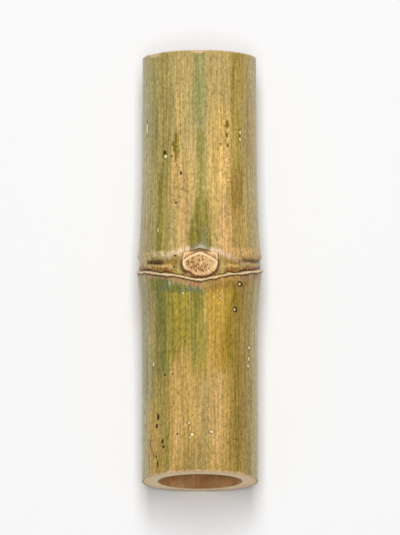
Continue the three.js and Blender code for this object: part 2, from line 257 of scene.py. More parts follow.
class Scar:
    """The cut branch, its shoulders and the bud scale: what their relief and their finish share."""

    def __init__(self, phi, y):
        self.phi = phi
        self.x = STUB_HEIGHT * np.tan(np.clip(phi, -SCAR_TURN_LIMIT, SCAR_TURN_LIMIT))
        self.y = y + SCAR_SHIFT
        self.near = (np.abs(phi) < SCAR_TURN) & (self.y > -26) & (self.y < 24)
        self.stub = np.where(self.near, stub_distance(self.x, self.y), FAR)
        self.shoulder = np.where(self.near, shoulder_distance(self.x, self.y), FAR)
        self.off_middle = np.abs(self.x - BUD_MIDDLE)

        # A groove runs round the sides of the stub and of its shoulders
        side = np.abs(self.x)
        sides = smooth(side, 7, 11) * smooth(-self.y, -2.5, 1) * smooth(self.y, -14, -9)
        self.groove = gauss(self.stub - 1.4, 0.7) * sides
        self.gap = gauss(self.shoulder - 0.7, 0.5)
        self.outside = self.gap * smooth(side, 11, 13) * smooth(self.y, -3, -1)

        self.ear = smooth(-self.shoulder, -0.35, 0.35)
        self.rim = gauss(self.shoulder + 0.8, 0.75) * smooth(self.stub, 0.3, 1.1) * smooth(side, 6, 10)
        self.seam = gauss(self.stub - 0.4, 0.35) * self.ear
        self.lower = smooth(-self.y, 5, 10)

        # The bud scale above the stub has a peaked lower edge
        self.above = self.y - BUD_TOP + BUD_FALL * (self.off_middle / 7) ** 1.1
        within = smooth(-self.off_middle, -BUD_HALF_WIDTH - 0.8, -BUD_HALF_WIDTH + 0.6)
        self.width = within * self.near
        self.scale = smooth(self.above, -0.25, 0.25) * smooth(-self.above, -5.5, -0.8) * self.width

    def relief(self, radius):
        """The radius of the skin with the scar raised from it."""
        x = self.x
        y = self.y
        radius = radius - GROOVE_CUT * self.groove - 0.35 * self.outside

        # The shoulders lie almost as high as the cut face, with a thin raised rim
        ear_radius = SHOULDER_RADIUS + 0.5 * smooth(np.abs(x), 5, 11) + 0.3 * self.rim
        radius = radius + (np.maximum(ear_radius, radius) - radius) * self.ear
        radius = radius - 0.3 * self.seam

        # The cut face of the branch, crowned across and a little uneven
        top = (STUB_HEIGHT - SAW_MARK - x ** 2 / (2 * STUB_CROWN_RADIUS)) / np.cos(self.phi)
        pores = SAW_MARK * np.sin(2.6 * x + 0.7 * np.sin(y)) * np.sin(0.9 * y + np.sin(1.7 * x))
        worn = 0.3 * smooth(self.stub, -1.4, 0.1)
        face = smooth(-self.stub, -0.35 - 1.7 * self.lower, 0.3)
        radius = radius + (top + pores - worn - radius) * face
        return radius + BUD_SCALE_HEIGHT * self.scale

    def frost(self):
        """Grey wax on the bud scale, thickest at its lower edge."""
        wax = gauss(self.x - 1.2, 4.2) * smooth(self.above, -0.3, 0.3) * smooth(-self.above, -4.4, 0.3)
        edge = 0.5 * gauss(self.above - 0.2, 0.4) * (0.6 + 0.4 * np.sin(1.9 * self.x + 0.5))
        return np.clip(0.9 * wax + edge, 0, 1) * self.width

    def painted_crevice_shade(self, skin):
        """Painted shade: dark lines in the grooves and crevices round the stub, its shoulders and the bud,
        on the skin that is not cut.
        """
        y = self.y
        right = smooth(self.x, 12, 13) * smooth(y, -4, -2) * smooth(-y, -4, -3)
        arch = gauss(self.shoulder - 0.15, 0.42) * smooth(y, 2, 4) * smooth(-self.off_middle, -9, -6)
        under_bud_shade = self.ear * smooth(-self.off_middle, -6.5, -3.5) * smooth(y, 1, 3)
        lines = (
            0.85 * self.groove,
            0.7 * self.seam,
            0.9 * self.gap * right,
            0.35 * self.outside * (self.x < 0),
            0.7 * under_bud_shade * skin,
            0.95 * arch * self.near * skin,
        )
        return np.maximum.reduce(lines)

    def masks(self):
        """Where each part of the scar lies, 0 to 1, with painted highlight on the cut face's upper edges
        and the shoulders' rims, and painted shade round the stub and under it.
        """
        cut = smooth(-self.stub, -0.2, 0.25)
        skin = 1 - cut
        # Painted highlight along the upper edges of the cut face
        upper_edge_highlight = gauss(self.stub + 0.65, 0.7) * smooth(self.y, -9, -5)
        return {
            "cut": cut,
            "core": smooth(-self.stub, 1.0, 2.6),
            "ear": self.ear * skin * smooth(self.y, -4, -2),
            # painted highlight on the cut face's upper edges and the shoulders' rims
            "cream_and_highlight": np.maximum(upper_edge_highlight * cut, 0.9 * self.rim * self.ear),
            # painted shade in the grooves and crevices round the stub, and from the lip masks above and
            # under the lip
            "dark": self.painted_crevice_shade(skin),
            # painted shade under the cut branch, over the brown of its side wall
            "brown": smooth(-self.stub, -3.6, -0.5) * self.lower * skin,
            "scale": self.scale * skin,
            "frost": self.frost(),
        }


def node_swell(phi, y, lip, ridge):
    """How far the skin stands out at the node, without its thin lip."""
    below = SWELL_BELOW * np.exp(-((np.maximum(lip - y, 0) / SWELL_BELOW_REACH) ** 1.35))
    above = np.maximum(y - ridge, 0)
    past_ridge = SWELL_ABOVE * gauss(above, SWELL_ABOVE_REACH) + RIDGE_HEIGHT * np.exp(-above / RIDGE_REACH)
    share = np.clip((y - lip) / (ridge - lip), 0, 1)
    rise = (SWELL_ABOVE + RIDGE_HEIGHT - INTRANODE_HEIGHT) * smooth(share, 0.74, 1)
    creases = 0.06 * np.sin(26 * share + 1.5 * np.sin(6 * phi)) * smooth(share, 0.08, 0.2)
    between = INTRANODE_HEIGHT + rise - GROOVE_DEPTH * gauss(share - 0.66, 0.12) + creases
    return np.where(y <= lip, below, np.where(y >= ridge, past_ridge, between))


def add_lip_masks(masks, phi, t):
    """The pale cream edge of the lip, with crumbs above it, and painted shade in the crevices above and
    under it.
    """
    side = np.abs(phi)
    uneven = wander(phi, 7, 25, 110)
    away = smooth(side, 0.3, 0.7)
    # Painted shade in the crevice above the lip
    crevice_shade = gauss(t - 1.7, 0.62) * (0.65 + 0.35 * away) * (1 + 0.3 * uneven) * (1 - masks["cut"])
    blotches = smooth(wander(phi, 9, 30, 120), 0.1, 0.7) * smooth(side, 0.75, 0.95)
    crevice_shade += gauss(t - 2.2, 0.7) * blotches
    # Painted shade under the overhanging lip
    under = gauss(t + 1.35, 0.5) * (0.97 + 0.3 * uneven)
    crumbled = smooth(wander(phi, 10, 60, 160), 0.45, 0.8) * smooth(side, 0.7, 0.9)
    crumbs = 0.8 * gauss(t - 2.3, 0.4) * crumbled
    edge = gauss(t - 0.02, 0.64) * (0.98 + 0.3 * uneven)
    masks["cream_and_highlight"] = np.clip(np.maximum.reduce((masks["cream_and_highlight"], crumbs, edge)), 0, 1)
    masks["dark"] = np.clip(np.maximum.reduce((masks["dark"], crevice_shade, under)), 0, 1)


def outer_surface(phi, y):
    """Radius of the skin at each place, with the masks that its finish needs."""
    lip = lip_line(phi)
    ridge = ridge_line(phi)
    t = (y - lip) / (1 + 0.3 * wander(phi, 5, 8, 30))
    ragged = lip_height(t) + 0.14 * wander(phi, 6, 20, 80) * gauss(t, 0.5)
    swell = np.where(np.abs(t) < LIP_REACH, ragged, node_swell(phi, y, lip, ridge))
    radius = plain_radius(phi, y) + swell * swell_share(phi) - channel(phi, y, ridge) + pit_relief(phi, y)
    scar = Scar(phi, y)
    masks = scar.masks()
    add_lip_masks(masks, phi, t)
    chip = chip_depth(phi, y)
    # A thin painted highlight along both sawn rims, and the bare wood of the chips
    edge = smooth(np.abs(y) + 0.35 * wander(phi, 8, 20, 120), HALF - 0.9, HALF - 0.3)
    masks["bare_and_rim_highlight"] = np.maximum(0.75 * smooth(chip, 0.02, 0.3), 0.7 * edge)
    masks["speckled"] = speck_share(phi, y)
    return scar.relief(radius) - chip, masks


# Colours seen on the rind, as red, green and blue of the screen
TAN = (0.74, 0.64, 0.40)
HONEY = (0.74, 0.60, 0.32)
GOLD = (0.80, 0.67, 0.37)
GOLD_BRIGHT = (0.87, 0.71, 0.42)
ROSE_TAN = (0.82, 0.66, 0.42)
GOLD_ORANGE = (0.77, 0.61, 0.24)
AMBER = (0.67, 0.52, 0.12)
OLIVE_AMBER = (0.61, 0.51, 0.14)
BROWN_OCHRE = (0.61, 0.47, 0.21)
BROWN_TAN = (0.62, 0.50, 0.26)
OLIVE_OCHRE = (0.67, 0.57, 0.27)
OLIVE_PALE = (0.64, 0.59, 0.35)
OLIVE = (0.59, 0.54, 0.28)
OLIVE_DEEP = (0.56, 0.46, 0.17)
LIME = (0.61, 0.55, 0.18)
LEAF = (0.52, 0.50, 0.18)
MOSS = (0.50, 0.47, 0.10)
MOSS_DARK = (0.42, 0.40, 0.05)
MOSS_BROWN = (0.50, 0.41, 0.10)
GREEN_SHADE = (0.46, 0.46, 0.23)
GREEN_GREY = (0.56, 0.56, 0.33)
TEAL = (0.43, 0.47, 0.33)
FLANK_WAX_AND_SHEEN = (0.72, 0.67, 0.49)
FLANK_GREY_AND_SHEEN = (0.65, 0.62, 0.47)
SIDE_GREEN = (0.66, 0.62, 0.41)
SIDE_MOSS = (0.59, 0.56, 0.37)
SIDE_TAN = (0.71, 0.62, 0.39)
SIDE_OLIVE = (0.63, 0.55, 0.33)
FLANK_WARM_AND_SHEEN = (0.76, 0.68, 0.48)
ROSE_BROWN = (0.66, 0.52, 0.38)
CLAY = (0.73, 0.50, 0.35)
PEACH = (0.89, 0.70, 0.46)
SAND = (0.95, 0.77, 0.47)
OLIVE_GOLD = (0.76, 0.66, 0.31)
LIP_BROWN = (0.72, 0.55, 0.31)
RIDGE_HIGHLIGHT_CREAM = (0.95, 0.82, 0.68)
RIDGE_HIGHLIGHT_TAN = (0.84, 0.75, 0.52)
BROWN_BAND_AND_GROOVE_SHADE = (0.27, 0.16, 0.01)
CREVICE_SHADE_RED = (0.58, 0.38, 0.16)
FROST = (0.80, 0.74, 0.65)

# Bands: colour, middle and half width in degrees, from and to along the culm, fade, strength
BANDS = (
    (HONEY, 0, 200, -160, -10, 6, 1.0),
    # Pale grey bands on the flanks: partly wax bloom, partly painted grazing sheen
    (FLANK_WAX_AND_SHEEN, -74, 14, -160, 160, 10, 0.95),
    (FLANK_GREY_AND_SHEEN, -68, 9, -94, -8, 10, 0.9),
    (SIDE_GREEN, -53, 6, 0, 160, 10, 0.9),
    (SIDE_MOSS, -54, 5, -92, -8, 12, 0.9),
    (OLIVE_PALE, -45, 5, 10, 160, 14, 0.85),
    (OLIVE, -37, 4.5, 10, 160, 12, 0.85),
    (LEAF, -43, 3.8, 6, 48, 10, 0.95),
    (OLIVE_PALE, -29.5, 3.6, 74, 160, 12, 0.75),
    (ROSE_TAN, -22, 6, 46, 70, 8, 0.85),
    (SAND, -23.5, 4, 54, 74, 7, 0.85),
    (GOLD_BRIGHT, -11, 4, 52, 76, 10, 0.6),
    (GOLD, -22, 5, 96, 114, 8, 0.3),
    (LIME, -23.5, 2, 70, 92, 4, 0.85),
    (BROWN_BAND_AND_GROOVE_SHADE, -47.5, 0.9, 80, 108, 3, 0.4),
    (ROSE_TAN, -16, 5, 8, 46, 10, 0.7),
    (GREEN_GREY, -0.5, 7, 104, 146, 14, 0.9),
    (OLIVE_PALE, 1, 5, 84, 104, 10, 0.6),
    (LEAF, 1.5, 4.2, 30, 84, 12, 0.75),
    (MOSS, 1, 8.5, 3, 34, 14, 0.95),
    (MOSS_BROWN, -1, 9.5, 4, 17, 7, 0.8),
    (MOSS_DARK, -7, 2.6, 2, 30, 10, 0.9),
    (MOSS_DARK, 7.4, 3.2, 2, 35, 8, 0.95),
    (TEAL, 3.5, 4.4, 2, 14, 8, 0.85),
    (GOLD, 15, 7, 26, 100, 14, 0.85),
    (GOLD_BRIGHT, 17, 6, 40, 86, 10, 0.7),
    (GOLD_BRIGHT, 26, 6, 50, 104, 8, 0.95),
    (SAND, 24.5, 5, 56, 76, 8, 0.7),
    (ROSE_TAN, 25, 9, 4, 36, 10, 0.85),
    (PEACH, 25, 6, 6, 32, 8, 0.85),
    (OLIVE_OCHRE, 42, 8, 70, 160, 12, 0.9),
    (OLIVE_GOLD, 38.5, 2.8, 62, 104, 6, 0.85),
    (BROWN_OCHRE, 38, 9, 34, 50, 8, 0.95),
    (BROWN_OCHRE, 43, 6.5, 50, 66, 6, 0.9),
    (BROWN_OCHRE, 36, 2.4, 96, 150, 12, 0.4),
    (HONEY, 42, 10, 2, 30, 8, 0.85),
    (SIDE_TAN, 56, 5, 0, 160, 10, 0.9),
    # Pale flank band, partly painted grazing sheen
    (FLANK_WARM_AND_SHEEN, 74, 13, 0, 160, 10, 0.95),
    (GREEN_SHADE, -40, 8.6, -82, -6, 14, 0.97),
    (LEAF, -30, 5.5, -68, -6, 10, 0.95),
    (LIME, -14, 11.5, -58, -10, 14, 0.95),
    (LEAF, -4, 4.6, -72, -10, 10, 0.8),
    (MOSS, 1.5, 5, -32, -8, 10, 0.9),
    (LIME, 2, 6, -76, -36, 12, 0.8),
    (GOLD_ORANGE, 16, 8.5, -78, -12, 14, 0.9),
    (AMBER, 27, 3.8, -72, -10, 8, 0.9),
    (OLIVE_AMBER, 32.5, 3.4, -74, -10, 10, 0.9),
    (ROSE_TAN, -23, 4, -98, -76, 10, 0.5),
    (ROSE_TAN, 17, 7, -136, -82, 10, 0.8),
    (ROSE_TAN, -22, 5, -134, -114, 8, 0.85),
    (ROSE_TAN, 4, 6, -116, -96, 10, 0.5),
    (OLIVE, -45, 4, -112, -86, 8, 0.6),
    (OLIVE, -37, 3.8, -150, -88, 12, 0.85),
    (BROWN_OCHRE, -45, 4, -160, -138, 8, 0.7),
    (OLIVE_DEEP, 40, 5, -146, -6, 10, 0.92),
    (MOSS_BROWN, 36, 3, -30, -8, 6, 0.8),
    (BROWN_TAN, 48, 5, -156, -6, 10, 0.9),
    (SIDE_OLIVE, 57, 5.5, -160, -6, 10, 0.92),
    # Pale flank band, partly painted grazing sheen
    (FLANK_WAX_AND_SHEEN, 74, 12, -160, -4, 10, 0.9),
    (BROWN_TAN, -6, 15, -160, -126, 12, 0.4),
    (BROWN_TAN, -3, 13, -160, -136, 8, 0.8),
    (BROWN_TAN, 32, 3, -148, -118, 8, 0.7),
    (OLIVE_PALE, 6, 3, -160, -100, 20, 0.45),
    (LEAF, 104, 9, -150, -4, 20, 0.6),
    (OLIVE, 128, 12, 6, 150, 14, 0.7),
    (LIME, -112, 12, 12, 96, 20, 0.6),
    (OLIVE_DEEP, -134, 14, -140, -10, 14, 0.6),
    (GOLD, 150, 9, -120, 130, 30, 0.5),
)
# Places with many specks: angle and half width in degrees, place along and half length, strength
SPECKLED = (
    (-22, 10, 66, 34, 1.0),
    (28, 7, 76, 30, 0.8),
    (-38, 9, -126, 28, 1.0),
    (34, 9, -112, 38, 0.8),
    (8, 14, -112, 14, 0.5),
    (-24, 5, -110, 40, 0.5),
    (34, 14, 16, 12, 0.4),
)


def linear(colour):
    """A screen colour as the light it stands for."""
    return tuple(c / 12.92 if c <= 0.04045 else ((c + 0.055) / 1.055) ** 2.4 for c in colour)


def rind_tone(phi, y):
    """Base colour of the rind at each place, in light, with its bands of green, gold and brown."""
    angle = np.degrees(phi)
    tone = np.zeros((len(phi), 3)) + np.array(linear(TAN))
    drift = 0.5 * mottle(phi, y, 31, 60, 160)

    def lay(colour, share):
        tone[:] += (np.array(linear(colour)) - tone) * np.clip(share, 0, 1)[:, None]

    for index, (colour, middle, half, low, high, fade, strength) in enumerate(BANDS):
        soft = min(0.5 * half, 4)
        ragged = min(0.25 * half, 3) * mottle(phi, y, 40 + index, 5, 45)
        inside = smooth(-np.abs(angle - middle + drift + ragged), -half - soft, -half + soft)
        ends = 9 * mottle(phi, y, 80 + index, 2.5, 60)
        span = smooth(y + ends, low - fade, low) * smooth(-y - ends, -high - fade, -high)
        patchy = 1 + 0.2 * mottle(phi, y, 120 + index, 3, 26)
        lay(colour, strength * inside * span * np.clip(patchy, 0, 1))
    lay(GOLD, 0.15 * smooth(mottle(phi, y, 32, 5, 160), 0.1, 0.8))
    lay(OLIVE, 0.2 * smooth(mottle(phi, y, 33, 4, 120), 0.1, 0.8))
    lay(BROWN_TAN, 0.2 * smooth(mottle(phi, y, 34, 3.5, 90), 0.2, 0.9))
    paint_below_lip(lay, phi, y, angle)
    paint_above_lip(lay, phi, y, angle)
    return tone


def window(value, low, high, soft):
    """1 between low and high, with soft ends."""
    return smooth(value, low - soft, low + soft) * smooth(-value, -high - soft, -high + soft)


def paint_below_lip(lay, phi, y, angle):
    """Rose brown, clay and waxy green left under the sheath scar."""
    below = lip_line(phi) - y
    rough = 1.1 * mottle(phi, y, 201, 4, 7)
    lay(ROSE_BROWN, 0.8 * window(below + rough, 0, 5.5, 1.5) * window(angle, -60, 4, 6))
    lay(BROWN_OCHRE, 0.9 * window(below + rough, 3, 9.5, 2.5) * window(angle, 3, 52, 3))
    lay(LIP_BROWN, 0.9 * window(below + rough, 0, 4.5, 1.5) * window(angle, 3, 46, 4))
    lay(ROSE_BROWN, 0.6 * window(below + rough, 0, 7, 3) * window(angle, 40, 80, 8))
    middle = 7.2 - 0.02 * angle + 0.9 * np.sin(0.21 * angle)
    thick = 2.6 + 1.4 * smooth(-angle, 8, 40)
    wax = window(below + rough - middle, -thick, thick, 0.9) * window(angle, -53, 4, 4)
    lay(GREEN_SHADE, 0.9 * wax)
    blots = smooth(mottle(phi, y, 202, 3.4, 5), -0.2, 0.6)
    lay(TEAL, 0.85 * wax * blots * window(angle, -46, 6, 5))
    pale = np.maximum(window(angle, -32, -24, 3), window(angle, -14, 3, 4))
    pale = pale * window(below + rough, 4.2, 7.6, 1.2)
    lay(FROST, 0.7 * pale * smooth(mottle(phi, y, 204, 2.2, 6), 0.0, 0.7))
    lay(CLAY, 0.85 * window(below + rough, 1.6, 5.2, 1.0) * window(angle + rough, -9, 3, 2.5))
    lay(BROWN_TAN, 0.85 * window(below + rough, 1.6, 6.5, 1.0) * window(angle + rough, 2, 10, 2))


def paint_above_lip(lay, phi, y, angle):
    """Colours between the sheath scar and the ridge, with painted shade in its crevices and at the groove,
    and the pale skin on the ridge, partly painted highlight.
    """
    lip = lip_line(phi)
    ridge = ridge_line(phi)
    share = (y - lip) / (ridge - lip)
    rough = 0.05 * mottle(phi, y, 205, 4, 5)
    lay(TAN, 0.75 * window(share, 0.05, 0.8, 0.12))
    lay(OLIVE_PALE, 0.5 * window(share, 0.05, 0.6, 0.15) * window(angle, -50, -14, 6))
    lay(GOLD_BRIGHT, 0.7 * window(share + rough, 0.34, 0.5, 0.06) * window(np.abs(angle), 24, 38, 4))
    # Painted shade in the crevices beside the two shoulders
    lay(BROWN_TAN, 0.75 * window(share + rough, 0.4, 0.84, 0.08) * window(angle, -26, -17, 2.5))
    lay(BROWN_TAN, 0.75 * window(share + rough, 0.5, 0.88, 0.08) * window(angle, 19, 26, 2.5))
    # Pale skin along the ridge's crest, partly painted highlight
    crest = y - ridge + 10 * rough
    lay(RIDGE_HIGHLIGHT_TAN, 0.45 * window(crest, -3.4, 1.4, 1.2) * window(angle, -80, -26, 8))
    lay(PEACH, 0.6 * window(crest, -4.4, 3.2, 1.4) * window(angle, 20, 76, 8))
    lay(MOSS, 0.92 * window(share + rough, 0.66, 0.83, 0.04) * window(angle, -54, -33, 4))
    lay(BROWN_OCHRE, 0.9 * window(share + rough, 0.5, 0.72, 0.05) * window(angle, -38, -20, 4))
    # Dark brown bands on both flanks, partly the skin's own brown and partly painted shade at the step into
    # the groove below the ridge
    lay(BROWN_BAND_AND_GROOVE_SHADE, window(share + 0.7 * rough, 0.45, 0.68, 0.03) * window(angle, -60, -36, 4))
    lay(BROWN_OCHRE, 0.9 * window(share + rough, 0.5, 0.78, 0.06) * window(angle, 26, 90, 5))
    lay(BROWN_BAND_AND_GROOVE_SHADE, 0.75 * window(share + 0.7 * rough, 0.52, 0.7, 0.04) * window(angle, 39, 84, 6))
    # Painted shade: reddish brown in the crevice just above the lip
    lay(CREVICE_SHADE_RED, 0.9 * window(share + 2 * rough, 0.06, 0.3, 0.06) * window(np.abs(angle), 24, 96, 8))
    # A pale cream line along the ridge beside the bud, partly painted highlight
    outward = np.abs(angle) - 12
    middle = np.where(angle < 0, 1.9 - 0.2 * np.minimum(outward, 19.5), 1.2 - 0.22 * outward)
    strength = np.where(angle < 0, 0.95 - 0.02 * outward, 0.95 - 0.022 * outward)
    pale = gauss(y - ridge - middle + 8 * rough, np.where(angle < 0, 2.2, 1.8)) * smooth(outward, -4.5, -1)
    lay(RIDGE_HIGHLIGHT_CREAM, pale * np.clip(strength, 0.12, 1))


def speck_share(phi, y):
    """Where the rind is speckled, 0 to 1."""
    angle = np.degrees(phi)
    share = 0.12 + 0.1 * mottle(phi, y, 210, 20, 60)
    for middle, half, along, half_length, strength in SPECKLED:
        distance = np.hypot((angle - middle) / half, (y - along) / half_length)
        share = np.maximum(share, strength * gauss(distance, 1))
    return np.clip(share, 0, 1)


def place(phi, s, radius):
    """Points of the culm in metres. Both sawn ends lean back at the top, the upper one more."""
    rise = radius * np.cos(phi)
    reach = smooth(np.abs(s), HALF - SAW_SKEW_REACH, HALF)
    base_shift = rise * math.tan(BASE_SAW_SKEW) - BASE_STRETCH
    y = s + reach * np.where(s < 0, base_shift, -rise * math.tan(TOP_SAW_SKEW))
    z = np.maximum(axis_height(y) + rise, 0)
    return np.stack([radius * np.sin(phi), y, z], axis=-1) * MM


def columns(front, front_step, back_step):
    """Angles round the culm from its back: fine steps on the branch side, coarser ones elsewhere."""
    back_count = round((180 - front) / back_step)
    middle = np.linspace(-front, front, round(2 * front / front_step), endpoint=False)
    left = np.linspace(-180, -front, back_count, endpoint=False)
    right = np.linspace(front, 180, back_count, endpoint=False)
    return np.radians(np.concatenate([left, middle, right]))


NODE_COLUMNS = columns(24, 0.55, 1.15)
BODY_COLUMNS = columns(24, 1.1, 1.4)
LUMEN_COLUMNS = columns(90, 3, 3)
END_STEPS = (0.03, 0.25, 0.55, 0.9, 1.3, 1.75, 2.3, 3, 4)
END_SHARES = (0.06, 0.14, 0.26, 0.4, 0.55, 0.7, 0.82, 0.91, 0.965)
DISH_ANGLES = (12, 25, 38, 51, 64, 77, 90)
DISH_SQUARENESS = 0.6

MASKS = ("cut", "core", "ear", "cream_and_highlight", "dark", "brown", "scale", "frost", "bare_and_rim_highlight", "speckled")
SKIN, SAWN, HOLLOW = range(3)


class Ring:
    """One closed line of points round the culm, from its back round to its back."""

    def __init__(self, start, phi, along, radius):
        self.start = start
        self.phi = phi
        self.along = along
        self.radius = radius
        self.here = start + np.arange(len(phi))
        self.after = start + (np.arange(len(phi)) + 1) % len(phi)

    def closed(self, values):
        """The values with the first one again at the end."""
        return np.append(values, values[0])

    def turns(self):
        return np.append(self.phi, math.pi)


class Shell:
    """Rings joined one after another into a closed surface, with masks, colour and a map."""

    def __init__(self):
        self.points = []
        self.stems = []
        self.masks = []
        self.tones = []
        self.faces = []
        self.corner_uvs = []
        self.kinds = []
        self.count = 0

    def add(self, phi, along, radius, masks=None, tone=None):
        ring = Ring(self.count, phi, along, radius)
        empty = np.zeros(len(phi))
        self.count += len(phi)
        self.points.append(place(phi, along, radius))
        stem_radius = BASE_RADIUS if masks else radius
        stem = np.stack([stem_radius * np.sin(phi), along, stem_radius * np.cos(phi)], axis=-1)
        self.stems.append(stem)
        self.masks.append(np.stack([(masks or {}).get(name, empty) for name in MASKS], axis=-1))
        self.tones.append(np.ones((len(phi), 3)) if tone is None else tone)
        return ring

    def strip(self, rings, kind, uv_of):
        """Faces between each ring and the next. uv_of gives a ring's corners on the map."""
        for a, b in zip(rings, rings[1:]):
            uv_a = uv_of(a)
            uv_b = uv_of(b)
            if len(a.phi) == len(b.phi):
                self.faces.extend(np.stack([a.here, a.after, b.after, b.here], axis=-1).tolist())
                corners = np.stack([uv_a[:-1], uv_a[1:], uv_b[1:], uv_b[:-1]], axis=1)
                self.corner_uvs.append(corners.reshape(-1, 2))
            else:
                self.zip_rings(a, b, uv_a, uv_b)
        self.kinds.extend([kind] * (len(self.faces) - len(self.kinds)))

    def zip_rings(self, a, b, uv_a, uv_b):
        """Triangles between two rings with unlike columns."""
        turns_a = a.turns()
        turns_b = b.turns()
        size_a = len(a.phi)
        size_b = len(b.phi)
        i = j = 0
        while i < size_a or j < size_b:
            step_a = j == size_b
            if i < size_a and j < size_b:
                step_a = turns_a[i] + turns_a[i + 1] <= turns_b[j] + turns_b[j + 1]
            corner_a = a.start + i % size_a
            corner_b = b.start + j % size_b
            if step_a:
                self.faces.append([corner_a, a.start + (i + 1) % size_a, corner_b])
                self.corner_uvs.append(np.array([uv_a[i], uv_a[i + 1], uv_b[j]]))
                i += 1
            else:
                self.faces.append([corner_a, b.start + (j + 1) % size_b, corner_b])
                self.corner_uvs.append(np.array([uv_a[i], uv_b[j + 1], uv_b[j]]))
                j += 1

    def cap(self, ring, kind, uv, uv_middle, last):
        """A fan from the first or the last ring to one point in the middle of the septum."""
        along = float(np.mean(ring.along))
        middle = np.array([[0.0, along, float(axis_height(np.array(along)))]])
        apex = np.full(len(ring.phi), self.count)
        self.count += 1
        self.points.append(middle * MM)
        self.stems.append(np.array([[0.0, along, 0.0]]))
        self.masks.append(np.zeros((1, len(MASKS))))
        self.tones.append(np.ones((1, 3)))
        point = np.broadcast_to(uv_middle, (len(ring.phi), 2))
        if last:
            self.faces.extend(np.stack([apex, ring.here, ring.after], axis=-1).tolist())
            self.corner_uvs.append(np.stack([point, uv[:-1], uv[1:]], axis=1).reshape(-1, 2))
        else:
            self.faces.extend(np.stack([apex, ring.after, ring.here], axis=-1).tolist())
            self.corner_uvs.append(np.stack([point, uv[1:], uv[:-1]], axis=1).reshape(-1, 2))
        self.kinds.extend([kind] * len(ring.phi))

    def mesh(self, name):
        """The shell as one Blender mesh."""
        points = np.concatenate(self.points).astype(np.float32)
        sizes = np.array([len(face) for face in self.faces], dtype=np.int32)
        starts = np.concatenate([[0], np.cumsum(sizes)[:-1]]).astype(np.int32)
        corners = np.array([corner for face in self.faces for corner in face], dtype=np.int32)
        mesh = bpy.data.meshes.new(name)
        mesh.vertices.add(len(points))
        mesh.vertices.foreach_set("co", points.ravel())
        mesh.loops.add(len(corners))
        mesh.loops.foreach_set("vertex_index", corners)
        mesh.polygons.add(len(sizes))
        mesh.polygons.foreach_set("loop_start", starts)
        mesh.polygons.foreach_set("material_index", np.array(self.kinds, dtype=np.int32))
        mesh.polygons.foreach_set("use_smooth", np.ones(len(sizes), dtype=bool))
        mesh.update(calc_edges=True)
        layer = mesh.uv_layers.new(name="OFBake")
        layer.data.foreach_set("uv", np.concatenate(self.corner_uvs).astype(np.float32).ravel())
        stem = mesh.attributes.new("stem", "FLOAT_VECTOR", "POINT")
        stem.data.foreach_set("vector", np.concatenate(self.stems).astype(np.float32).ravel())
        tones = np.concatenate(self.tones)
        tones = np.concatenate([tones, np.ones((len(tones), 1))], axis=1)
        tone = mesh.attributes.new("tone", "FLOAT_COLOR", "POINT")
        tone.data.foreach_set("color", tones.astype(np.float32).ravel())
        values = np.concatenate(self.masks).astype(np.float32)
        for index, mask in enumerate(MASKS):
            attribute = mesh.attributes.new(mask, "FLOAT", "POINT")
            attribute.data.foreach_set("value", np.ascontiguousarray(values[:, index]))
        mesh.validate()
        return mesh


# The map: the skin unrolled on the left, and the ends, the hollows and the septum in a strip beside it
MAP_SKIN_WIDTH = 0.795
MAP_EDGE = 0.002
MAP_SKIN_HALF = HALF + 2
STRIP = 0.806
STRIP_WIDTH = 0.19
END_SCALE = STRIP_WIDTH / 2 / (BASE_RADIUS + 0.5)
END_CENTRES = {-1: (STRIP + STRIP_WIDTH / 2, 0.1), 1: (STRIP + STRIP_WIDTH / 2, 0.3)}
WALL_LOWS = {-1: 0.405, 1: 0.625}
WALL_SIZE = 0.21
SEPTUM_CENTRES = {-1: (STRIP + 0.047, 0.9), 1: (STRIP + 0.143, 0.9)}
SEPTUM_SCALE = 0.044 / max(LUMEN_RADIUS.values())


def skin_uv(ring):
    share = (ring.turns() / math.pi + 1) / 2
    return np.stack([
        MAP_EDGE + share * MAP_SKIN_WIDTH,
        ring.closed(ring.along) / (2 * MAP_SKIN_HALF) + 0.5], axis=-1)


def disc_uv(centre, scale):
    def uv(ring):
        turns = ring.turns()
        radii = ring.closed(ring.radius) * scale
        return np.stack([centre[0] + radii * np.sin(turns), centre[1] + radii * np.cos(turns)], axis=-1)
    return uv


def wall_uv(end):
    """A hollow unrolled: its depth across the strip and its round up the strip."""
    depth = HALF - end * SEPTUM_Y[end] - SEPTUM_DISH

    def uv(ring):
        share = (end * float(np.mean(ring.along)) - end * SEPTUM_Y[end] - SEPTUM_DISH) / depth
        turns = (ring.turns() / math.pi + 1) / 2
        across = np.full(len(turns), STRIP + np.clip(share, 0, 1) * STRIP_WIDTH)
        return np.stack([across, WALL_LOWS[end] + turns * WALL_SIZE], axis=-1)
    return uv


